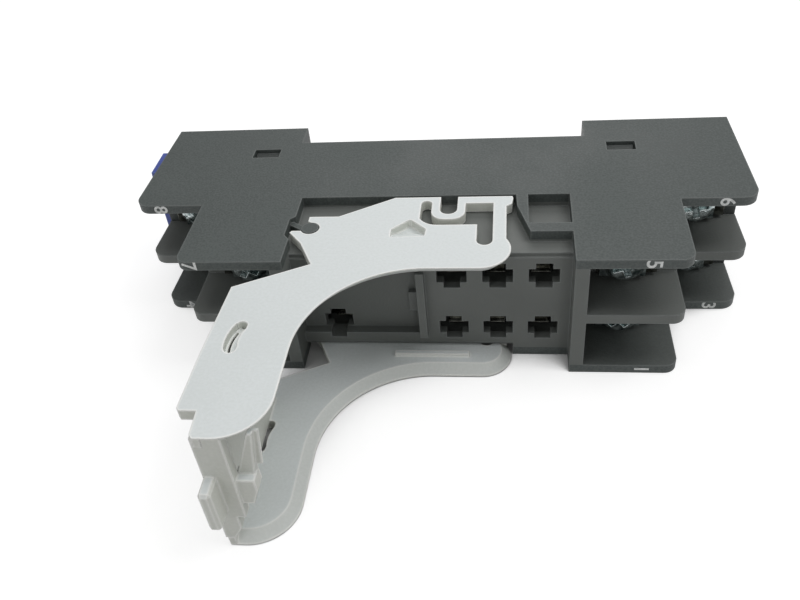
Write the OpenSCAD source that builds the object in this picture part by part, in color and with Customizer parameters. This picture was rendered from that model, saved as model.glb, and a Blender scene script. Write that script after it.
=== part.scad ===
// Plug-in relay socket for a 35 mm rail: two tiers of screw terminals at each
// end, a relay bay between them, and a pivoting lever that holds the relay.
// It lies on its side. X runs along the socket, -Y points away from the rail
// towards the relay, and Z crosses its width. The origin is the middle of the
// rail seat, at the lower side face.

/* [Rail seat] */
// Width of the notch that takes the rail
notch_w = 35.5; // [35.2:0.1:36.5]
// Depth of the notch
notch_depth = 3.8; // [3.4:0.1:5]
// Reach of the lips over the rail's flange
lip_reach = 1.3; // [0.8:0.1:1.8]
// Room for the flange between the seat and the lips
flange_room = 1.3; // [1.1:0.1:1.6]

/* [Housing] */
// Width of the socket, across its side faces
body_w = 16; // [15.5:0.1:18]
// Thickness of the side walls
side_wall = 1.1; // [1:0.05:1.3]
// Thickness of the barrier between the two poles
mid_wall = 1.2; // [0.8:0.1:1.6]
// Half length at the front of the rear tier
tip_half = 35.6; // [35.3:0.1:37]
// Draft of each end, from the rear tier's front to the rear face
end_draft = 0.3; // [0.1:0.1:0.5]
// Height of the rear tier above the rail
tier1_h = 14; // [13.5:0.1:15]
// Corner radius of the rear tier
tier1_r = 1.8; // [0.8:0.1:2.5]
// Half length of the front tier
tier2_half = 27.2; // [26.8:0.1:27.8]
// Height of the front tier above the rail
tier2_h = 24.85; // [24.5:0.05:26.5]
// Corner radius of the front tier
tier2_r = 1.4; // [0.8:0.1:2]
// Height of the wiring space behind each tier, from the rear face of the cover
cover_h = 6.5; // [6.3:0.1:6.7]
// Clearance between the housing and what snaps into it
snap_gap = 0.05; // [0.03:0.01:0.1]

/* [Relay bay] */
// Length of the bay between the terminal blocks
bay_w = 30.7; // [30.4:0.1:31]
// Wall between the bay and a terminal block
block_wall = 1.5; // [1.2:0.1:1.8]
// Height of the relay's seat above the rail
seat_h = 22.05; // [21.5:0.05:22.5]
// Thickness of the seat over the contacts
seat_t = 1.1; // [0.8:0.1:1.4]
// Distance between the two rows of pin holes
pin_row = 7.5; // [7:0.1:8]
// Places of the pin holes along the socket
pin_x = [-11.2, 2.4, 7.4, 12.4];
// Length and width of the cross-shaped pin holes
pin_slot = [3.3, 1.8];
// Depth of the pocket under the coil end of the relay
coil_pocket = 1.2; // [0.6:0.1:1.5]
// Height of the rib between the coil and the contacts
rib_rise = 0.9; // [0.4:0.1:1.2]

/* [Terminals] */
// Distance of the screws from the inner end of their bay, rear and front tier
screw_in = [2.85, 4.15];
// Distance of a screw's head behind the edge of its tier
head_set = 4.2; // [3.8:0.1:4.6]
// Diameter of the screw heads
head_d = 4.4; // [4:0.1:4.8]
// Thickness of the screw heads
head_t = 1.7; // [1.4:0.1:2]
// Diameter of the screw shanks
shank_d = 3; // [2.5:0.1:3.5]
// Length of the screws below the clamp
shank_l = 3.6; // [3:0.1:3.8]
// Size of the clamps along and across the socket
clamp_size = [5, 5.2];
// Thickness of the clamps
clamp_t = 0.8; // [0.6:0.1:1]
// Thickness of the contact strip
strip_t = 0.8; // [0.6:0.1:1]
// Width of the contact strip and its spring leaves
strip_w = 2.8; // [2:0.1:3.2]
// Thickness of the contact's spring leaves
leaf_t = 0.35; // [0.25:0.05:0.5]
// Distance of the leaves' mouth behind the seat's wall
mouth_set = 1.1; // [0.2:0.1:1.5]
// Radial clearance of a screw in its thread
thread_gap = 0.05; // [0.03:0.01:0.1]

/* [Release lever] */
// Place of the pivot from the middle of the socket
pivot_x = 13.3; // [13:0.1:13.6]
// Height of the pivot above the rail
pivot_h = 18.7; // [18.3:0.1:19]
// Radius of the pivot's bosses
pivot_r = 0.97; // [0.8:0.01:1.1]
// Radial clearance of the lever on its bosses
pivot_gap = 0.08; // [0.05:0.01:0.1]
// Angle that the lever opens
open_angle = 26; // [15:1:28]
// Thickness of the lever's arms
arm_t = 1.2; // [1:0.05:1.3]
// Clearance on both faces of an arm
arm_gap = 0.08; // [0.05:0.01:0.15]
// Height of the arms' inner edge above the rail
arm_back_h = 12.9; // [12.8:0.1:13.4]
// Height of the arms' outer edge, past the relay's foot
arm_front_h = 25.9; // [25.5:0.1:26.5]
// Distance of the arms' upright from the middle of the socket
upright_x = 11.75; // [11.5:0.05:12]
// Height of the lever above the rail
lever_h = 48.8; // [47:0.1:51]
// Radius of the curve between arm and upright
sweep_r = 11.95; // [11:0.05:12.5]
// Radius of the lever's outer corner
corner_r = 4.85; // [4:0.05:5.2]
// Width of the bevel along the arms' inner edges
bevel_w = 1.05; // [0.6:0.05:1.2]
// Thickness of the lever's end wall
end_wall = 1; // [0.8:0.1:1.2]
// Reach of the finger tab
tab_reach = 2.2; // [1:0.1:3]

/* [Rail latch] */
// Width of the latch across the socket
latch_w = 10; // [9:0.1:10.4]
// Thickness of the latch
latch_t = 4; // [3.5:0.1:4.2]
// How far the latch's grip stands out of the housing
latch_out = 2.9; // [1.5:0.1:3.5]
// Running clearance of the latch in its channel
latch_gap = 0.12; // [0.08:0.01:0.2]

/* [Hidden] */
$fn = 64;
cut = 1;                     // how far a cutter runs past what it cuts
mid_z = body_w / 2;
rear_half = tip_half - end_draft;                     // half length at the rear face
notch_half = notch_w / 2;
bay_half = bay_w / 2;
cavity_w = mid_z - side_wall - mid_wall / 2;          // clear width of one pole
pole_z = [side_wall + cavity_w / 2, body_w - side_wall - cavity_w / 2];
pin_z = [mid_z - pin_row / 2, mid_z + pin_row / 2];
tier_h = [tier1_h, tier2_h];
plate_set = head_set + head_t + clamp_t;              // tier edge to contact strip
plate_h = [for (h = tier_h) h - plate_set];           // front face of each screw plate
block_x = bay_half + block_wall;                      // inner end of the front terminals
screw_x = [tier2_half + screw_in[0], block_x + screw_in[1]];
cover_half = rear_half + end_draft * (notch_depth + cover_h) / (notch_depth + tier1_h);
arm_z = arm_gap;                                      // outer face of the lower arm
recess_t = arm_t + 2 * arm_gap;                       // depth of the arms' recess
recess_h = arm_back_h - 0.2;
pivot_at = [-pivot_x, -pivot_h];
web_angle = 146;                                      // direction of the bosses' webs
stop_h = tier2_h - pivot_h + 0.15;                    // pivot to the lever's stop edge
collar_t = 0.55;                                      // wall of the threaded collars
collar_l = 0.7;                                       // their length behind the plates
well_r = shank_d / 2 + collar_t + 0.2;                // wells that the collars sit in
well_l = shank_l - strip_t + 0.3;
fork_half = 1.25;                                     // half width of a fork contact
fork_room = fork_half + 0.65;                         // half width of the room for it
fork_bend = 4;                                        // mouth to the leaves' shoulders
nip = [1.7, 2.4];                                     // mouth to both ends of the grip
nip_half = 0.28;                                      // half gap between the leaves there
grip_t = 2;                                           // thickness of the latch's grip
nose_in = 1;                                          // latch's nose, in from its sides
end_x = 18.3;                                         // outer face of the end wall
knuckle = [5.6, 22.65];                               // centre of the arms' round end
knuckle_r = arm_front_h - knuckle[1];
window_x = [notch_half + 2.5, notch_half + 5.85];     // snap windows, along the socket
window_y = [-3.45, -1.5];                             // snap windows, from the rail seat
plastic = [0.30, 0.32, 0.31];
pale = [0.86, 0.88, 0.86];
blue = [0.24, 0.28, 0.65];
steel = [0.80, 0.81, 0.80];
brass = [0.80, 0.69, 0.42];

// ---- shared shapes ----------------------------------------------------------

// What a rounded corner takes away, for the corner that points to +X and -Y
module corner_waste(r) {
    difference() {
        translate([0, -r - cut]) square([r + cut, r + cut]);
        circle(r);
    }
}

// The same shape at both ends of the socket
module both_ends() {
    children();
    mirror([1, 0]) children();
}

// A slot with round ends along X
module round_slot(l, w) {
    translate([w / 2 - l / 2, 0]) circle(w / 2);
    translate([l / 2 - w / 2, 0]) circle(w / 2);
    square([l - w, w], center = true);
}

// Terminals 1 to 4 are on the front tier and 5 to 8 on the rear one
function tier_of(n) = n > 4 ? 0 : 1;
function end_of(n) = (n % 4 == 1 || n % 4 == 2) ? 1 : -1;
function pole_of(n) = n % 2;
function screw_at(n) = [end_of(n) * screw_x[tier_of(n)], -plate_h[tier_of(n)],
                        pole_z[pole_of(n)]];
function pin_of(n) = tier_of(n) == 1
    ? (end_of(n) > 0 ? pin_x[3] : pin_x[0])
    : (end_of(n) > 0 ? pin_x[2] : pin_x[1]);

// ---- housing ----------------------------------------------------------------

// Side view of the housing: a wide rear tier, a narrower front tier, the relay
// bay between the blocks and the notch for the rail
module body_outline() {
    difference() {
        polygon([
            [-rear_half, notch_depth], [-tip_half, tier1_r - tier1_h],
            [-tip_half, -tier1_h], [-tier2_half, -tier1_h],
            [-tier2_half, -tier2_h], [-bay_half, -tier2_h],
            [-bay_half, -seat_h], [bay_half, -seat_h],
            [bay_half, -tier2_h], [tier2_half, -tier2_h],
            [tier2_half, -tier1_h], [tip_half, -tier1_h],
            [tip_half, tier1_r - tier1_h], [rear_half, notch_depth]
        ]);
        translate([-notch_half, 0]) square([notch_w, notch_depth + cut]);
        both_ends() {
            translate([tip_half - tier1_r, tier1_r - tier1_h]) corner_waste(tier1_r);
            translate([tier2_half - tier2_r, tier2_r - tier2_h]) corner_waste(tier2_r);
        }
    }
}

// Open terminal bay of one tier, in side view, down to the cover or the strip
module bay_outline(inner, h, floor_h) {
    translate([inner, -h - cut]) square([tip_half + cut - inner, h + cut - floor_h]);
}

// Room for one pole's contact strips and spring leaves, in side view
module contact_room() {
    for (x = pin_x) translate([x - fork_room, seat_t + coil_pocket - seat_h])
        square([2 * fork_room, seat_h - seat_t - coil_pocket - cover_h + cut]);
    for (x = [pin_x[1], pin_x[2], pin_x[3]]) translate([x - fork_room, seat_t - seat_h])
        square([2 * fork_room, seat_h]);
    // ways for the front tier's strips
    translate([pin_x[3], -plate_h[1] - 0.2]) square([block_x - pin_x[3] + cut, strip_t + 0.4]);
    translate([-block_x - cut, -plate_h[1] - 0.2])
        square([block_x + pin_x[0] + cut, strip_t + 0.4]);
    // ways for the rear tier's strips
    translate([pin_x[2], -plate_h[0] - 0.2]) square([tier2_half - pin_x[2] + cut, cut + 0.4]);
    translate([-tier2_half - cut, -plate_h[0] - 0.2])
        square([tier2_half + pin_x[1] + cut, cut + 0.4]);
}

// Sunk area of a side face that the lever's arm moves in. The upper side has
// a ledge beside the arm, and the lower side ends at the arm.
module arm_recess(ledge) {
    nose = [9.4, 14.85];
    right = ledge
        ? [[bay_half, -seat_h - cut], [bay_half, -19.75], [10.9, -19.75],
           [nose[0] + 0.1, -nose[1]], [nose[0], -recess_h]]
        : [[9.05, -seat_h - cut], [9.05, -recess_h]];
    polygon(concat([
        [-bay_half, -recess_h], [-bay_half, -16.5], [-bay_half - 0.6, -17],
        [-bay_half - 0.6, -20], [-bay_half, -20.7], [-bay_half, -seat_h - cut]
    ], right));
}

// The round boss that the lever clips on
module pivot_boss() {
    translate(pivot_at) circle(pivot_r);
}

// Cross-shaped hole that lets a relay's blade into its contact
module pin_hole() {
    square([pin_slot[0], pin_slot[1]], center = true);
    square([pin_slot[1], pin_slot[0]], center = true);
}

module housing() color(plastic) {
    difference() {
        linear_extrude(body_w) body_outline();
        // space that the rear cover fills
        translate([-tip_half - cut, -cover_h, side_wall])
            cube([2 * (tip_half + cut), cover_h + notch_depth + cut, body_w - 2 * side_wall]);
        for (z = pole_z) translate([0, 0, z - cavity_w / 2]) {
            linear_extrude(cavity_w) both_ends() {
                bay_outline(tier2_half, tier1_h, cover_h);
                intersection() {
                    bay_outline(block_x, tier2_h, plate_h[1] - strip_t);
                    translate([0, -tier2_h - cut]) square([tier2_half + cut, tier2_h]);
                }
            }
        }
        for (z = pin_z) {
            translate([0, 0, z - 2.1]) linear_extrude(4.2) contact_room();
            for (x = pin_x) translate([x, -seat_h - cut, z]) rotate([-90, 0, 0])
                linear_extrude(seat_t + coil_pocket + 2 * cut) pin_hole();
        }
        // wells behind the front tier's plates
        for (n = [1:4]) translate(screw_at(n)) rotate([-90, 0, 0])
            cylinder(r = well_r, h = strip_t + well_l);
        // pocket under the coil end of the relay
        translate([-bay_half, -seat_h - cut, mid_z - 4.7])
            cube([bay_half - 1.5, coil_pocket + cut, 9.4]);
        // sunk side faces for the lever's arms
        translate([0, 0, body_w - recess_t]) linear_extrude(recess_t + cut) arm_recess(true);
        translate([0, 0, -cut]) linear_extrude(recess_t + cut) arm_recess(false);
        // moulded pocket beside the arm
        translate([10.75, -18.2, body_w - 1.6]) cube([bay_half - 10.75, 18.2 - recess_h, 1.6 + cut]);
        // steps along the seat that clear the ridges of the lever's arms
        for (z = [0, body_w - recess_t - 0.45]) translate([-bay_half, -seat_h - cut, z])
            cube([z > 0 ? bay_w : bay_half + 9.05, cut + 0.3, recess_t + 0.45]);
        // windows for the cover's snap tabs
        for (side = [-1, 1]) translate([side * (window_x[0] + window_x[1]) / 2,
                                        (window_y[0] + window_y[1]) / 2, mid_z])
            cube([window_x[1] - window_x[0], window_y[1] - window_y[0], body_w + cut],
                 center = true);
    }
    for (face = [0, 1]) translate([0, 0, mid_z]) mirror([0, 0, face]) {
        translate([0, 0, mid_z - recess_t]) linear_extrude(recess_t) pivot_boss();
        translate([-pivot_x, -pivot_h, mid_z - recess_t]) rotate(web_angle)
            translate([0, -0.35, 0]) cube([3.6, 0.7, recess_t - 0.6]);
    }
    // rib between the coil and the contacts, and the key beside it
    translate([-1.5, -seat_h - rib_rise, mid_z - 4.7]) cube([0.9, rib_rise + coil_pocket, 9.4]);
    translate([-2.6, coil_pocket - seat_h - 0.7, 6.3]) cube([1.2, 0.9, 2.7]);
}

// ---- rear cover -------------------------------------------------------------

// T-shaped channel for the rail latch, open at the left end
module latch_channel(gap) {
    translate([-rear_half - cut, -latch_t + flange_room - gap, mid_z - latch_w / 2 - gap])
        cube([rear_half - notch_half + 2 * cut, latch_t + 2 * gap, latch_w + 2 * gap]);
    translate([-rear_half - cut, 0, mid_z - latch_w / 2 + 1 - gap])
        cube([rear_half - notch_half + 2 * cut, notch_depth + cut, latch_w - 2 + 2 * gap]);
}

module rear_cover() color(plastic) {
    inner_w = body_w - 2 * side_wall - 2 * snap_gap;
    difference() {
        translate([0, 0, side_wall + snap_gap]) linear_extrude(inner_w) difference() {
            polygon([
                [-rear_half, notch_depth], [-cover_half, snap_gap - cover_h],
                [cover_half, snap_gap - cover_h], [rear_half, notch_depth]
            ]);
            translate([-notch_half, 0]) square([notch_w, notch_depth + cut]);
            // grooves that clear the burrs on the rail's edges
            both_ends() translate([notch_half - lip_reach - 0.1, -0.3])
                square([lip_reach + 0.1, 0.3 + cut]);
        }
        latch_channel(latch_gap);
        // blind holes past the rear tier's screws
        for (n = [5:8]) translate([screw_at(n)[0], -cover_h - cut, screw_at(n)[2]])
            rotate([-90, 0, 0]) cylinder(r = well_r, h = cut + well_l);
        // hollows that keep the moulding's walls even
        for (x = [-14.5, -5.5, 3.5, 12.5]) translate([x - 3.5, snap_gap - cover_h - cut, mid_z - 5])
            cube([7.5, cut + 3.6, 10]);
    }
    // fixed lip that hooks over the rail's flange
    translate([notch_half, flange_room, mid_z - 5]) linear_extrude(10) polygon([
        [cut, 0], [-lip_reach, 0], [-lip_reach, 0.7],
        [-0.3, notch_depth - flange_room], [cut, notch_depth - flange_room]
    ]);
    // snap tabs that show in the side walls' windows
    for (side = [-1, 1]) for (face = [0, 1])
        translate([side * (window_x[0] + window_x[1]) / 2, 0, mid_z])
            mirror([0, 0, face]) translate([0.1 - (window_x[1] - window_x[0]) / 2, 0, inner_w / 2])
                rotate([90, 0, 90]) linear_extrude(window_x[1] - window_x[0] - 0.2) polygon([
                    [window_y[0] + 0.1, -0.3], [window_y[1] - 0.1, -0.3],
                    [window_y[1] - 0.1, side_wall - 0.4], [window_y[0] + 0.1, 0.15]
                ]);
}

// ---- rail latch -------------------------------------------------------------

module din_latch() color(blue) {
    grip_x = -rear_half - latch_out;
    difference() {
        union() {
            // slide, with its nose under the rail's flange
            translate([grip_x + grip_t / 2, flange_room - latch_t, mid_z - latch_w / 2])
                cube([-notch_half - grip_x - grip_t, latch_t, latch_w]);
            translate([0, 0, mid_z - latch_w / 2 + nose_in])
                linear_extrude(latch_w - 2 * nose_in) polygon([
                [-notch_half - 3, flange_room - 0.2], [-notch_half + lip_reach, flange_room - 0.2],
                [-notch_half + lip_reach, flange_room + 0.6], [-notch_half + 0.3, notch_depth - 0.2],
                [-notch_half - 3, notch_depth - 0.2]
            ]);
            // grip past the end of the housing
            translate([grip_x, -3.3, mid_z - 6]) cube([grip_t, 5, 12]);
        }
        // slots that free the spring tongue
        for (z = [-1, 1]) translate([-27, 0, mid_z + z * 2.2]) rotate([90, 0, 0])
            linear_extrude(12, center = true) round_slot(9, 0.8);
        // finger hollow in the grip
        translate([grip_x - 1.2, -0.8, mid_z]) cylinder(r = 1.7, h = 8, center = true);
    }
}

// ---- terminals --------------------------------------------------------------

// One spring leaf in end view, from its root to its flared mouth
module leaf_profile(l) {
    polygon([
        [-l, fork_half], [-l, fork_half - leaf_t], [-fork_bend, fork_half - 2 * leaf_t],
        [-nip[1], nip_half], [-nip[0], nip_half], [-0.3, fork_half - 0.3],
        [0, fork_half - 0.05], [-leaf_t, fork_half + 0.1],
        [-nip[0] - 0.2, nip_half + leaf_t], [0.2 - nip[1], nip_half + leaf_t],
        [0.1 - fork_bend, fork_half - 0.3]
    ]);
}

// Screw plate, strip and fork contact, bent from one strip
module terminal(n) color(brass) {
    tier = tier_of(n);
    side = end_of(n);
    h = plate_h[tier];
    pin = side * pin_of(n);               // pin place as seen from this end
    pole = pole_z[pole_of(n)];
    row = pin_z[pole_of(n)];
    mouth_h = seat_h - seat_t - (pin_of(n) < 0 ? coil_pocket : 0) - mouth_set;
    root_h = tier == 1 ? h - strip_t - 4.2 : h - strip_t;
    x0 = screw_x[tier] - 2.75;
    bend = tier == 1 ? strip_w / 2 - 0.5 : -strip_w / 2;  // where the strip turns back
    mirror([side > 0 ? 0 : 1, 0, 0]) difference() {
        union() {
            // plate under the screw, with an extruded collar for the thread
            translate([x0, -h, pole - 2.7]) cube([6.6, strip_t, 5.4]);
            translate([screw_x[tier], -h, pole]) rotate([-90, 0, 0])
                cylinder(r = shank_d / 2 + collar_t, h = strip_t + collar_l);
            // strip to the fork
            translate([pin + bend, -h, row - strip_w / 2])
                cube([x0 - pin - bend + 0.1, strip_t, strip_w]);
            if (tier == 1) translate([pin + bend, -h, row - strip_w / 2])
                cube([strip_t, h - root_h, strip_w]);
            // bridge that joins the two leaves
            translate([pin - strip_w / 2, -root_h - strip_t, row - 1.25])
                cube([strip_w, strip_t, 2.5]);
            for (leaf = [0, 1]) translate([pin - strip_w / 2, -mouth_h, row])
                mirror([0, 0, leaf]) rotate([90, 0, 90]) linear_extrude(strip_w - 0.6)
                    mirror([1, 0]) leaf_profile(mouth_h - root_h);
        }
        translate([screw_x[tier], -h, pole]) rotate([-90, 0, 0])
            cylinder(r = shank_d / 2 + thread_gap, h = 4 * strip_t, center = true);
    }
}

// Square pressure plate under a screw's head, its ends turned down on the wire
module clamp(n) color(steel) translate(screw_at(n)) difference() {
    translate([0, -clamp_t / 2, 0]) cube([clamp_size[0], clamp_t, clamp_size[1]], center = true);
    rotate([90, 0, 0]) cylinder(r = shank_d / 2 + 0.2, h = 4 * clamp_t, center = true);
    for (z = [-1, 1]) translate([0, 0, z * 1.7]) rotate([0, 90, 0])
        cylinder(r = 0.3, h = clamp_size[0] + cut, center = true);
}

// Pan-head screw with a cross recess
module screw(n) color(steel) translate(screw_at(n)) rotate([90, 0, 0]) difference() {
    union() {
        translate([0, 0, -shank_l]) cylinder(r = shank_d / 2, h = shank_l + clamp_t + 0.1);
        translate([0, 0, clamp_t]) cylinder(r = head_d / 2, h = head_t - 0.5);
        translate([0, 0, clamp_t + head_t - 0.5]) cylinder(r1 = head_d / 2, r2 = head_d / 2 - 0.5, h = 0.5);
    }
    for (a = [0, 90]) rotate(a + 20 * n) translate([0, 0, clamp_t + head_t])
        cube([2.7, 0.7, 1.8], center = true);
}

// ---- release lever ----------------------------------------------------------

// The stop edge meets the block's front when the lever is open
function stop_edge(x) = [x, -pivot_h - stop_h / cos(open_angle)
                            + (x + pivot_x) * tan(open_angle)];

// Main sheet of an arm, before its openings
module arm_sheet(nose) {
    difference() {
        union() {
            polygon(concat([
                [-pivot_x - 0.45, -pivot_h + 2.2], [-10.4, -pivot_h + 2.2], [-4.3, -arm_back_h]
            ], nose
                ? [[9, -arm_back_h], [9.1, -13.3], [8.95, -14.4], [8.35, -14.85]]
                : [[8.35, -arm_back_h]],
            [
                [8.35, -knuckle[1]], [knuckle[0], -knuckle[1]], [knuckle[0], -arm_front_h],
                [sweep_r - upright_x, -arm_front_h],
                [sweep_r - upright_x, -arm_front_h - sweep_r],
                [-upright_x, -arm_front_h - sweep_r], [-upright_x, corner_r - lever_h],
                [-upright_x - corner_r, corner_r - lever_h], [-upright_x - corner_r, -lever_h],
                [0.3 - end_x, -lever_h], [-end_x, 0.4 - lever_h], [-end_x - 0.15, 3.1 - lever_h],
                [-end_x - 1.8, 3.1 - lever_h], [-end_x - 2.05, 3.4 - lever_h],
                [-end_x - 1.9, 10.5 - lever_h], stop_edge(-19.7), stop_edge(-12.06),
                [-pivot_x - 0.6, -pivot_h - 2.7], [-pivot_x - 1.1, -pivot_h - 2.1],
                [-pivot_x - 2.2, -pivot_h - 0.75], [-pivot_x - 2, -pivot_h - 0.45],
                [-pivot_x - 0.45, -pivot_h - 0.45]
            ]));
            translate([knuckle[0], -knuckle[1]]) circle(knuckle_r);
            intersection() {
                translate([-upright_x - corner_r, corner_r - lever_h]) {
                    circle(corner_r);
                }
                translate([-upright_x - corner_r, -lever_h]) square(corner_r);
            }
        }
        translate([sweep_r - upright_x, -arm_front_h - sweep_r]) circle(sweep_r);
    }
}

// Openings of an arm: the clip for the pivot, the spring loop and the key slot
module arm_openings() {
    translate(pivot_at) {
        circle(pivot_r + pivot_gap);
        rotate(web_angle) translate([0, -0.85]) square([3, 1.7]);
    }
    difference() {
        union() {
            translate([-1.2, -18.3]) square([8.1, 4.1]);
            translate([-0.6, -14.25]) circle(0.6);
            translate([5.2, -21.15]) square([1.7, 3]);
            translate([6.05, -21.15]) circle(0.85);
        }
        translate([0.8, -16.1]) corner_fill(2.2);
        // the loop's outer side
        translate([0, -15.75]) square([3.8, 4]);
        translate([1.5, -15.75]) circle(1.5);
        translate([2.3, -15.75]) circle(1.5);
        translate([1.5, -17.25]) square([0.8, 2]);
    }
    // the loop's inner side, open to the rear
    translate([0.95, -15.3]) square([1.93, 4]);
    translate([1.915, -15.3]) circle(0.965);
    // curved slot beside the end wall
    translate([-12.95, -36.75]) {
        intersection() {
            difference() {
                circle(5.3);
                circle(4);
            }
            polygon([[0, 0], [-6, -1.5], [-6, 3]]);
        }
        for (y = [-1.5, 3]) rotate(atan(-y / 6)) translate([-4.65, 0]) circle(0.58);
    }
}

// Fills the outside of a quarter round, to leave a rounded inner corner
module corner_fill(r) {
    difference() {
        translate([-r, -r]) square(r);
        circle(r);
    }
}

// Section of the bevel's waste: s runs inwards from the arm's edge
module bevel_profile(edge, dir) {
    polygon([
        [edge - dir, 0.12], [edge, 0.12], [edge + dir * bevel_w, arm_t],
        [edge + dir * bevel_w, arm_t + cut], [edge - dir, arm_t + cut]
    ]);
}

// Bevel that follows the arm's front edge, from its round end to the corner
module edge_bevel() {
    run = knuckle[0] - sweep_r + upright_x;
    rise = lever_h - corner_r - arm_front_h - sweep_r;
    translate([knuckle[0], -knuckle[1], 0]) rotate(-90)
        rotate_extrude(angle = 122) bevel_profile(knuckle_r, -1);
    translate([sweep_r - upright_x, -arm_front_h, 0]) rotate([90, 0, 90])
        linear_extrude(run) bevel_profile(0, 1);
    translate([sweep_r - upright_x, -arm_front_h - sweep_r, 0]) rotate(90)
        rotate_extrude(angle = 90) bevel_profile(sweep_r, 1);
    translate([-upright_x, -arm_front_h - sweep_r, 0]) rotate([90, 0, 0])
        linear_extrude(rise) bevel_profile(0, -1);
    translate([-upright_x - corner_r, corner_r - lever_h, 0]) rotate(-90)
        rotate_extrude(angle = 90) bevel_profile(corner_r, -1);
    translate([end_wall - end_x, -lever_h, 0]) rotate([90, 0, 90])
        linear_extrude(end_x - end_wall - upright_x - corner_r) bevel_profile(0, 1);
}

// Pointed hollow in an arm's outer face, whose floor ramps up towards the relay
module finger_mark() {
    intersection() {
        translate([0, 0, -cut]) linear_extrude(cut + arm_t) polygon([
            [-4.15, -20.45], [-4.15, -19.05], [-2.3, -17.3], [-2.1, -17.3],
            [-0.35, -19.05], [-0.45, -20.25]
        ]);
        translate([-5, 0, 0]) rotate([90, 0, 90]) linear_extrude(6) polygon([
            [-20.6, -cut], [-20.5, 0], [-18.6, 0.95], [-17, 0.95], [-17, -cut]
        ]);
    }
}

// The lower arm, its outer face down at z = 0
module arm(nose) {
    difference() {
        linear_extrude(arm_t) difference() {
            arm_sheet(nose);
            arm_openings();
        }
        edge_bevel();
        finger_mark();
    }
    // ridge that grips the foot of the relay
    translate([-4.5, -23.9, arm_t - 0.1]) cube([8.6, 0.6, 0.5]);
}

module release_lever() color(pale) {
    inside = body_w - 2 * arm_gap - 2 * arm_t;
    translate([0, 0, arm_z]) arm(false);
    translate([0, 0, body_w - arm_z]) mirror([0, 0, 1]) arm(true);
    translate([0, 0, arm_z + arm_t]) {
        // end wall between the arms
        translate([-end_x, 0.1 - lever_h, -0.1]) cube([end_wall, 17.9, inside + 0.2]);
        translate([0, 2.1 - lever_h, 0]) rotate([90, 0, 0]) {
            // front flange, which steps back to the wall at its lower end
            translate([0, 0, 0.8]) linear_extrude(1.2) polygon([
                [-end_x, -0.1], [end_wall - end_x, -0.1], [-16.4, 1.4], [-16.4, 3.3],
                [-15.55, 3.3], [-15.55, inside + 1.05], [-end_x, inside + 1.05]
            ]);
            // hook over the relay
            linear_extrude(1.7) polygon([
                [-15.7, 5.05], [-14.4, 5.15], [-13.8, 6.9], [-13.85, 8.4], [-15.7, 8.4]
            ]);
            // gusset that ties the hook to the upper arm, with a lip behind it
            linear_extrude(0.8) polygon([
                [-15.6, 8.2], [-14, 8.2], [-13.2, inside + 0.3], [-13.7, inside + 0.3]
            ]);
            linear_extrude(0.3) polygon([
                [-15.6, 8.2], [-14, 8.2], [-13.8, 9.2], [-13.2, 9.2],
                [-12.75, inside + 0.3], [-13.7, inside + 0.3]
            ]);
        }
        // finger tab
        translate([-end_x, 0.1 - lever_h, mid_z - arm_z - arm_t - 2.6]) hull() {
            translate([0, -tab_reach + 0.3, 0.3]) cube([1.2, 0.3 + tab_reach, 4.6]);
            translate([0.3, -tab_reach, 0.3]) cube([0.6, tab_reach, 4.6]);
            translate([0.2, -tab_reach + 0.3, 0]) cube([0.8, tab_reach, 5.2]);
        }
    }
}

housing();
rear_cover();
release_lever();
din_latch();
for (n = [1:8]) {
    terminal(n);
    clamp(n);
    screw(n);
}
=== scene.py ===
import math

import bpy
from mathutils import Matrix, Vector


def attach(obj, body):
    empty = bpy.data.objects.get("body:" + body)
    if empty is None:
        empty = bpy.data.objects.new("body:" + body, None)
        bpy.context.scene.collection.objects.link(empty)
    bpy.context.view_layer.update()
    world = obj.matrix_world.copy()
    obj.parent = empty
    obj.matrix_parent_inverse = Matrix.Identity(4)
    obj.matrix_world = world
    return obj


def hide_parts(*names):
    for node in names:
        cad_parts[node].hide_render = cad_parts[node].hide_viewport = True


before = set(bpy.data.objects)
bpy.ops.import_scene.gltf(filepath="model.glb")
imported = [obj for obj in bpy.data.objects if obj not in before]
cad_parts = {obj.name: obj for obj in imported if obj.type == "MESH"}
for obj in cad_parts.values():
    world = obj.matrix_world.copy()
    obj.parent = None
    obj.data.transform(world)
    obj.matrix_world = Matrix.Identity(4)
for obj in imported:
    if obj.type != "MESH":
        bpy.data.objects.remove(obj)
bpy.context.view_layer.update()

# Lengths are in millimetres and angles in degrees, except where a line says otherwise.
MM = 0.001

SOCKET_W = 16.0              # across the side faces
SIDE_WALL = 1.1
REAR_TIER = 14.0             # heights of the two tiers above the rail seat
FRONT_TIER = 24.85
SOCKET_HALF = 35.6           # half length of the rear tier

GRIP_INNER = 35.2            # inner face of the latch's grip, from the middle
GRIP_SHIFT = 0.42            # how far the grip moves in towards the housing
GRIP_ROUND = 0.55
WELD = 0.01                  # corners closer than this are one corner

SLOT_AT = (-12.95, -36.75)   # centre of the lever's curved slot
SLOT_START = 150.0
SLOT_SWEEP = 49.0
SLOT_END_SWEEP = 8.0         # part of the sweep where the slit is closed
SLOT_R = (3.9, 5.4)          # inner and outer radius
SLIT_R = (4.82, 5.08)        # the slit left open in the slot's floor
SLOT_FLOOR = 15.0            # heights of the plates' middles above the table
SLOT_END_FLOOR = 14.95
SLOT_SHADE = 14.78
SLOT_STEPS = 24

DIGIT_HEIGHT = 1.59
FONT_PER_HEIGHT = 1.4        # the font's size for each millimetre of a digit
STROKE = 0.035               # how much bolder than the plain font
INK = 0.012                  # half the thickness of the print

ROUND_SAMPLES = 6

LAMP_TARGET = (0, -0.015, 0.008)    # in metres, like every lamp's place and size

scene = bpy.context.scene
scene.view_settings.view_transform = "Standard"


# ---- node helpers -----------------------------------------------------------

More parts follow.
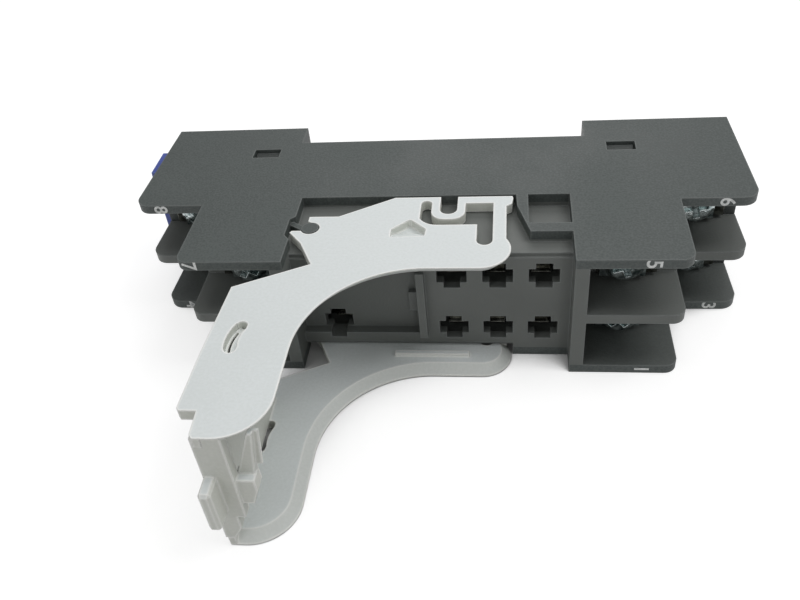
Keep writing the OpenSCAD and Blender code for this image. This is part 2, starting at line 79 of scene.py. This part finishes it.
def add_node(tree, kind, values=None, **settings):
    """A node with its settings, and with constants on the named sockets."""
    node = tree.nodes.new("ShaderNode" + kind)
    for setting, value in settings.items():
        setattr(node, setting, value)
    for socket, value in (values or {}).items():
        node.inputs[socket].default_value = value
    return node


def calculate(tree, operation, *values):
    """The result of one Math node on sockets and plain numbers."""
    node = add_node(tree, "Math", operation=operation)
    for socket, value in zip(node.inputs, values):
        if isinstance(value, float):
            socket.default_value = value
        else:
            tree.links.new(value, socket)
    return node.outputs[0]


def spread_out(tree, value, low, high, **settings):
    """A Map Range node that takes low to its least and high to its most."""
    node = add_node(tree, "MapRange", {"From Min": low, "From Max": high}, **settings)
    tree.links.new(value, node.inputs["Value"])
    return node


def mix_colors(tree, factor, first, second, **settings):
    node = add_node(tree, "Mix", data_type="RGBA", **settings)
    tree.links.new(factor, node.inputs["Factor"])
    tree.links.new(first, node.inputs["A"])
    tree.links.new(second, node.inputs["B"])
    return node.outputs["Result"]


def object_axis_z(tree, kind):
    """The Z part of the object's own coordinates ("Object") or normal ("Normal")."""
    where = add_node(tree, "TexCoord")
    axes = add_node(tree, "SeparateXYZ")
    tree.links.new(where.outputs[kind], axes.inputs["Vector"])
    return axes.outputs["Z"]


# ---- camera, floor and light ------------------------------------------------

def place_camera():
    """Looks down on the socket's front from a little to the right."""
    place = (0.008734, -0.091318, 0.068163)    # metres
    heading, dip, roll = 10.04, 40.40, -6.49
    bpy.ops.object.camera_add(location=place)
    camera = bpy.context.object
    camera.name = "camera"
    turned = Matrix.Rotation(math.radians(heading), 3, "Z")
    tipped = Matrix.Rotation(math.radians(90 - dip), 3, "X")
    rolled = Matrix.Rotation(math.radians(roll), 3, "Z")
    camera.rotation_euler = (turned @ tipped @ rolled).to_euler()
    camera.data.lens = 36.94
    camera.data.clip_start = 0.005
    scene.camera = camera


def seen_directly(tree):
    """1 where the camera, a mirror image or a refraction looks, and 0 for light."""
    path = add_node(tree, "LightPath")
    glossy = calculate(tree, "MAXIMUM", path.outputs["Is Camera Ray"],
                       path.outputs["Is Glossy Ray"])
    return calculate(tree, "MAXIMUM", glossy, path.outputs["Is Transmission Ray"])


def white_world(strength):
    """Soft light of this strength from all round, which the camera sees as white."""
    world = bpy.data.worlds.new("studio")
    scene.world = world
    world.use_nodes = True
    tree = world.node_tree
    tree.nodes.clear()
    out = add_node(tree, "OutputWorld")
    light = add_node(tree, "Background", {"Strength": strength})
    shown = add_node(tree, "Background", {"Color": (1, 1, 1, 1)})
    mix = add_node(tree, "MixShader")
    path = add_node(tree, "LightPath")
    tree.links.new(path.outputs["Is Camera Ray"], mix.inputs[0])
    tree.links.new(light.outputs[0], mix.inputs[1])
    tree.links.new(shown.outputs[0], mix.inputs[2])
    tree.links.new(mix.outputs[0], out.inputs["Surface"])


def white_floor():
    """A sheet of paper that goes white in the open and keeps the socket's shadow."""
    side, drop = 6.0, 0.00005       # metres
    paper_tone = (0.55, 0.55, 0.55, 1)
    reach = 0.04                    # metres around a point that can shade it
    shaded, open_air = 0.22, 0.48   # how open the floor is where the glow starts and ends
    glow = 0.66
    bpy.ops.object.select_all(action="DESELECT")
    bpy.ops.mesh.primitive_plane_add(size=side, location=(0, 0, -drop))
    floor = bpy.context.object
    floor.name = "floor"
    bpy.ops.object.transform_apply(location=True, rotation=True, scale=True)
    paper = bpy.data.materials.new("floor_paper")
    paper.use_nodes = True
    tree = paper.node_tree
    tree.nodes.clear()
    out = add_node(tree, "OutputMaterial")
    matt = add_node(tree, "BsdfDiffuse", {"Color": paper_tone})
    lift = add_node(tree, "Emission", {"Color": (1, 1, 1, 1)})
    # paper right under the socket and between its arms stays in shadow
    near = add_node(tree, "AmbientOcclusion", {"Distance": reach}, samples=24)
    open_floor = spread_out(tree, near.outputs["AO"], shaded, open_air,
                            interpolation_type="SMOOTHSTEP")
    open_floor.inputs["To Max"].default_value = glow
    strength = calculate(tree, "MULTIPLY", seen_directly(tree), open_floor.outputs["Result"])
    tree.links.new(strength, lift.inputs["Strength"])
    both = add_node(tree, "AddShader")
    tree.links.new(matt.outputs[0], both.inputs[0])
    tree.links.new(lift.outputs[0], both.inputs[1])
    tree.links.new(both.outputs[0], out.inputs["Surface"])
    floor.data.materials.append(paper)


def soft_lamp(name, place, size, watts):
    bpy.ops.object.light_add(type="AREA", location=place)
    lamp = bpy.context.object
    lamp.name = name
    lamp.data.shape = "SQUARE"
    lamp.data.size = size
    lamp.data.energy = watts
    aim = Vector(LAMP_TARGET) - Vector(place)
    lamp.rotation_euler = aim.to_track_quat("-Z", "Y").to_euler()


# ---- shared effects ---------------------------------------------------------

def effect_group(name, inputs, outputs):
    """An empty group with these sockets, and its input and output nodes."""
    tree = bpy.data.node_groups.new(name, "ShaderNodeTree")
    kinds = {float: "NodeSocketFloat", tuple: "NodeSocketColor"}
    for label, value in inputs.items():
        made = tree.interface.new_socket(name=label, in_out="INPUT",
                                         socket_type=kinds[type(value)])
        made.default_value = value
    for label, kind in outputs.items():
        tree.interface.new_socket(name=label, in_out="OUTPUT", socket_type=kinds[kind])
    start = tree.nodes.new("NodeGroupInput")
    end = tree.nodes.new("NodeGroupOutput")
    return tree, start.outputs, end.inputs


def noise(tree, size, detail):
    node = add_node(tree, "TexNoise", {"Detail": detail})
    where = add_node(tree, "TexCoord")
    tree.links.new(where.outputs["Object"], node.inputs["Vector"])
    tree.links.new(size, node.inputs["Scale"])
    return node.outputs["Fac"]


def moulded_skin():
    """Spark-eroded skin: fine height grain, and a slow change of tone and gloss."""
    grain_share, patch_share = 0.6, 0.4
    tree, start, end = effect_group(
        "moulded_skin",
        {"Grain Size": 3000.0, "Patch Size": 90.0,
         "Light Tone": (0.1, 0.1, 0.1, 1), "Dark Tone": (0.08, 0.08, 0.08, 1),
         "Gloss Low": 0.45, "Gloss High": 0.6},
        {"Color": tuple, "Roughness": float, "Height": float})
    grain = noise(tree, start["Grain Size"], detail=2.0)
    patch = noise(tree, start["Patch Size"], detail=3.0)
    soft = calculate(tree, "MULTIPLY", patch, patch_share)
    both = calculate(tree, "MULTIPLY_ADD", grain, grain_share, soft)
    contrast = spread_out(tree, both, low=0.4, high=0.6)
    tone = mix_colors(tree, contrast.outputs["Result"], start["Dark Tone"],
                      start["Light Tone"])
    gloss = spread_out(tree, patch, low=0.35, high=0.65)
    tree.links.new(start["Gloss Low"], gloss.inputs["To Min"])
    tree.links.new(start["Gloss High"], gloss.inputs["To Max"])
    tree.links.new(tone, end["Color"])
    tree.links.new(gloss.outputs["Result"], end["Roughness"])
    tree.links.new(grain, end["Height"])
    return tree


def edge_fade():
    """Painted highlight: brightens the thin edges, where they would catch the light."""
    flat, rounded_off = 0.99, 0.92    # cosines between the face and its rounded normal
    tree, start, end = effect_group(
        "edge_fade",
        {"Radius": 0.0003, "Color": (0.1, 0.1, 0.1, 1), "Edge Color": (0.3, 0.3, 0.3, 1),
         "Amount": 0.5},
        {"Color": tuple})
    rounded = add_node(tree, "Bevel", samples=ROUND_SAMPLES)
    tree.links.new(start["Radius"], rounded.inputs["Radius"])
    face = add_node(tree, "NewGeometry")
    same = add_node(tree, "VectorMath", operation="DOT_PRODUCT")
    tree.links.new(rounded.outputs["Normal"], same.inputs[0])
    tree.links.new(face.outputs["True Normal"], same.inputs[1])
    mask = spread_out(tree, same.outputs["Value"], flat, rounded_off)
    part = calculate(tree, "MULTIPLY", mask.outputs["Result"], start["Amount"])
    tree.links.new(mix_colors(tree, part, start["Color"], start["Edge Color"]), end["Color"])
    return tree


def between_walls():
    """Paler plastic between the two side plates: painted light that lifts the shade inside the
    bays.
    """
    middle, blend = SOCKET_W / 2, 0.02
    tree, start, end = effect_group(
        "between_walls",
        {"Color": (0.1, 0.1, 0.1, 1), "Inner Color": (0.15, 0.15, 0.15, 1)},
        {"Color": tuple})
    off = calculate(tree, "SUBTRACT", object_axis_z(tree, "Object"), middle * MM)
    inner = spread_out(tree, calculate(tree, "ABSOLUTE", off),
                       (middle - SIDE_WALL + blend) * MM, (middle - SIDE_WALL - blend) * MM)
    tree.links.new(mix_colors(tree, inner.outputs["Result"], start["Color"],
                              start["Inner Color"]), end["Color"])
    return tree


def side_faces():
    """Painted shade: the faces that stand across the arms are tinted darker and warmer than the
    faces that lie flat.
    """
    lying, standing = 0.85, 0.55    # cosines between the face's normal and the Z axis
    tree, start, end = effect_group(
        "side_faces",
        {"Color": (0.1, 0.1, 0.1, 1), "Side Tint": (0.9, 0.9, 0.85, 1)},
        {"Color": tuple})
    level = calculate(tree, "ABSOLUTE", object_axis_z(tree, "Normal"))
    across = spread_out(tree, level, lying, standing)
    tree.links.new(mix_colors(tree, across.outputs["Result"], start["Color"],
                              start["Side Tint"], blend_type="MULTIPLY"), end["Color"])
    return tree


SKIN = moulded_skin()
EDGE_HIGHLIGHT = edge_fade()
BAY_FILL_LIGHT = between_walls()
SIDE_FACE_SHADE = side_faces()


# ---- materials --------------------------------------------------------------

def shader(name):
    """A new material, its tree and its shader node."""
    made = bpy.data.materials.new(name)
    made.use_nodes = True
    tree = made.node_tree
    return made, tree, tree.nodes["Principled BSDF"]


def place_group(tree, group, **values):
    node = add_node(tree, "Group", node_tree=group)
    for label, value in values.items():
        node.inputs[label.replace("_", " ")].default_value = value
    return node


def skin_on(tree, face, light, dark, gloss, grain, **values):
    """The shared skin, which sets the shader's roughness; its colour is left free."""
    skin = place_group(tree, SKIN, Grain_Size=grain, Light_Tone=light, Dark_Tone=dark,
                       Gloss_Low=gloss[0], Gloss_High=gloss[1], **values)
    tree.links.new(skin.outputs["Roughness"], face.inputs["Roughness"])
    return skin


def relief(tree, face, height, radius, depth, strength):
    """Rounded edges and grain in the shader's normal."""
    rounded = add_node(tree, "Bevel", {"Radius": radius * MM}, samples=ROUND_SAMPLES)
    bump = add_node(tree, "Bump", {"Distance": depth * MM, "Strength": strength})
    tree.links.new(rounded.outputs["Normal"], bump.inputs["Normal"])
    tree.links.new(height, bump.inputs["Height"])
    tree.links.new(bump.outputs["Normal"], face.inputs["Normal"])


def moulding(name, light, dark, edge, gloss, grain=3000.0, grain_depth=0.012,
             edge_amount=0.35, edge_radius=0.25, bay_fill_tone=None, side=None):
    """A moulded plastic with a painted highlight on its edges; it can add painted light between
    the side plates and painted shade on the faces that stand across the arms.
    """
    made, tree, face = shader(name)
    skin = skin_on(tree, face, light, dark, gloss, grain)
    tone = skin.outputs["Color"]
    tints = []
    if bay_fill_tone:
        tints.append(place_group(tree, BAY_FILL_LIGHT, Inner_Color=bay_fill_tone))
    if side:
        tints.append(place_group(tree, SIDE_FACE_SHADE, Side_Tint=side))
    # painted highlight along the edges
    tints.append(place_group(tree, EDGE_HIGHLIGHT, Radius=edge_radius * MM, Edge_Color=edge,
                             Amount=edge_amount))
    for tint in tints:
        tree.links.new(tone, tint.inputs["Color"])
        tone = tint.outputs["Color"]
    tree.links.new(tone, face.inputs["Base Color"])
    relief(tree, face, skin.outputs["Height"], radius=0.15, depth=grain_depth, strength=0.6)
    return made


def metal(name, light, dark, gloss):
    """A plated metal with fine scratches; its patches of bright and dark are painted reflection
    of bright and dark surroundings.
    """
    made, tree, face = shader(name)
    face.inputs["Metallic"].default_value = 1.0
    skin = skin_on(tree, face, light, dark, gloss, grain=1300.0, Patch_Size=260.0)
    tree.links.new(skin.outputs["Color"], face.inputs["Base Color"])
    relief(tree, face, skin.outputs["Height"], radius=0.12, depth=0.06, strength=0.7)
    return made


def print_ink():
    made, tree, face = shader("print_ink")
    skin = skin_on(tree, face, (0.93, 0.94, 0.93, 1), (0.66, 0.68, 0.67, 1),
                   (0.5, 0.65), grain=2600.0)
    tree.links.new(skin.outputs["Color"], face.inputs["Base Color"])
    return made


# The housing's paler tone between its side plates is painted light that lifts the shade in the
# bays.
HOUSING_PLASTIC = moulding(
    "housing_plastic", (0.088, 0.102, 0.098, 1), (0.058, 0.069, 0.066, 1),
    (0.22, 0.235, 0.23, 1), (0.5, 0.66), grain=4200.0, grain_depth=0.03,
    edge_amount=0.6, edge_radius=0.28, bay_fill_tone=(0.140, 0.150, 0.142, 1))
# The cover's plastic is darker than the housing's as painted shade, for the window where the
# cover's hook shows.
COVER_PLASTIC = moulding(
    "cover_plastic", (0.062, 0.070, 0.068, 1), (0.045, 0.052, 0.050, 1),
    (0.13, 0.14, 0.14, 1), (0.48, 0.62), grain=4200.0)
# The lever's side tint is painted shade on its faces that stand across the arms.
LEVER_PLASTIC = moulding(
    "lever_plastic", (0.77, 0.81, 0.81, 1), (0.73, 0.77, 0.765, 1),
    (1.0, 1.0, 0.97, 1), (0.42, 0.55), grain=3200.0, grain_depth=0.006,
    edge_amount=1.0, edge_radius=0.4, side=(0.93, 0.90, 0.835, 1))
LATCH_PLASTIC = moulding(
    "latch_plastic", (0.075, 0.115, 0.42, 1), (0.055, 0.085, 0.35, 1),
    (0.30, 0.42, 0.70, 1), (0.30, 0.45), edge_amount=0.6)
# The steels' dark tones are painted reflection of dark surroundings, set against their bright
# glints.
SCREW_STEEL = metal("screw_steel", (0.86, 0.93, 0.93, 1), (0.10, 0.14, 0.14, 1), (0.05, 0.18))
CLAMP_STEEL = metal("clamp_steel", (0.80, 0.88, 0.88, 1), (0.08, 0.12, 0.12, 1), (0.06, 0.22))
# The contact metal is made dark as painted shade, for the contacts seen deep in the pin holes.
CONTACT_METAL = metal("contact_metal", (0.30, 0.30, 0.27, 1), (0.07, 0.07, 0.06, 1), (0.10, 0.24))
PRINT_INK = print_ink()


def dress(node, finish):
    piece = bpy.data.objects[node]
    for slot in piece.material_slots:
        slot.material = finish


dress("housing", HOUSING_PLASTIC)
dress("rear_cover", COVER_PLASTIC)
dress("release_lever", LEVER_PLASTIC)
dress("din_latch", LATCH_PLASTIC)
for number in range(1, 9):
    dress("terminal_%d" % number, CONTACT_METAL)
    dress("clamp_%d" % number, CLAMP_STEEL)
    dress("screw_%d" % number, SCREW_STEEL)


# ---- latch ------------------------------------------------------------------

def rail_latch():
    """The moulded latch, its grip rounded and close to the end of the housing."""
    solid = bpy.data.objects["din_latch"]
    latch = solid.copy()
    latch.data = solid.data.copy()
    latch.name = "rail_latch"
    scene.collection.objects.link(latch)
    for vertex in latch.data.vertices:
        if vertex.co.x < -SOCKET_HALF * MM:
            vertex.co.x += GRIP_SHIFT * MM
    bpy.ops.object.select_all(action="DESELECT")
    latch.select_set(True)
    bpy.context.view_layer.objects.active = latch
    bpy.ops.object.mode_set(mode="EDIT")
    bpy.ops.mesh.select_all(action="SELECT")
    bpy.ops.mesh.remove_doubles(threshold=WELD * MM)
    bpy.ops.mesh.dissolve_limited(angle_limit=math.radians(1))
    bpy.ops.object.mode_set(mode="OBJECT")
    grip = latch.vertex_groups.new(name="grip")
    outer = [v.index for v in latch.data.vertices if v.co.x < -GRIP_INNER * MM]
    grip.add(outer, 1.0, "REPLACE")
    rounding = latch.modifiers.new("rounding", "BEVEL")
    rounding.width = GRIP_ROUND * MM
    rounding.segments = 3
    rounding.vertex_group = "grip"
    rounding.limit_method = "VGROUP"
    latch.data.materials.clear()
    latch.data.materials.append(LATCH_PLASTIC)
    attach(latch, "latch")
    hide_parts("din_latch")


# ---- floor of the lever's curved slot ----------------------------------------

def crescent(name, inner, outer, middle, finish, thick=0.25, sweep=SLOT_SWEEP):
    """A thin plate in the curved slot, between two radii about the slot's centre."""
    bpy.ops.mesh.primitive_grid_add(x_subdivisions=SLOT_STEPS, y_subdivisions=1, size=1)
    plate = bpy.context.object
    plate.name = name
    for vertex in plate.data.vertices:
        turn = math.radians(SLOT_START + sweep * (vertex.co.x + 0.5))
        reach = inner + (outer - inner) * (vertex.co.y + 0.5)
        vertex.co = Vector((SLOT_AT[0] + reach * math.cos(turn),
                            SLOT_AT[1] + reach * math.sin(turn), middle)) * MM
    solid = plate.modifiers.new("solid", "SOLIDIFY")
    solid.thickness = thick * MM
    solid.offset = 0
    plate.data.materials.append(finish)
    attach(plate, "lever")


rail_latch()
crescent("slot_floor_inner", SLOT_R[0], SLIT_R[0], SLOT_FLOOR, LEVER_PLASTIC)
crescent("slot_floor_outer", SLIT_R[1], SLOT_R[1], SLOT_FLOOR, LEVER_PLASTIC)
crescent("slot_floor_end", SLOT_R[0], SLOT_R[1], SLOT_END_FLOOR, LEVER_PLASTIC,
         sweep=SLOT_END_SWEEP)
# slot_shade is a dark sheet under the slit: painted shade seen through it.
crescent("slot_shade", SLOT_R[0], SLOT_R[1], SLOT_SHADE, COVER_PLASTIC, thick=0.08)


# ---- printed numbers --------------------------------------------------------

def edge_number(digit, x, edge_y, z):
    """A printed number on the front edge of a plate, read with the socket upright."""
    bpy.ops.object.select_all(action="DESELECT")
    bpy.ops.object.text_add(location=(0, 0, 0))
    mark = bpy.context.object
    mark.name = "number_%d" % digit
    mark.data.body = str(digit)
    mark.data.size = DIGIT_HEIGHT * FONT_PER_HEIGHT * MM
    mark.data.offset = STROKE * MM
    mark.data.extrude = INK * MM
    mark.data.align_x = "CENTER"
    mark.data.align_y = "CENTER"
    bpy.ops.object.convert(target="MESH")
    mark = bpy.context.object
    low = Vector([min(v.co[i] for v in mark.data.vertices) for i in range(3)])
    high = Vector([max(v.co[i] for v in mark.data.vertices) for i in range(3)])
    mark.data.transform(Matrix.Translation(-(low + high) / 2))
    mark.data.transform(Matrix.Rotation(math.radians(-90), 4, "Z"))
    mark.data.transform(Matrix.Rotation(math.radians(90), 4, "X"))
    mark.data.transform(Matrix.Translation(Vector((x, edge_y, z)) * MM))
    mark.data.materials.clear()
    mark.data.materials.append(PRINT_INK)
    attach(mark, "base")


# The digits follow their places on the plates, not the numbers in the nodes' names.
upper_edge = SOCKET_W - SIDE_WALL / 2
lower_edge = SIDE_WALL / 2
edge_number(1, 23.3, -FRONT_TIER, lower_edge)
edge_number(2, -24.0, -FRONT_TIER, lower_edge)
edge_number(3, 32.4, -REAR_TIER, lower_edge)
edge_number(4, -32.4, -REAR_TIER, lower_edge)
edge_number(5, 23.1, -FRONT_TIER, upper_edge)
edge_number(6, 32.2, -REAR_TIER, upper_edge)
edge_number(7, -25.6, -FRONT_TIER, upper_edge)
edge_number(8, -32.4, -REAR_TIER, upper_edge)


# ---- scene ------------------------------------------------------------------

place_camera()
white_world(0.37)
white_floor()
soft_lamp("top_light", (0, 0, 0.45), size=0.35, watts=0.42)
soft_lamp("right_light", (0.25, 0, 0.38), size=0.20, watts=0.52)
soft_lamp("back_light", (0, 0.40, 0.35), size=0.30, watts=0.60)
soft_lamp("left_light", (-0.32, -0.36, 0.22), size=0.30, watts=0.25)
soft_lamp("glint_light", (0.20, -0.50, 0.16), size=0.04, watts=0.11)
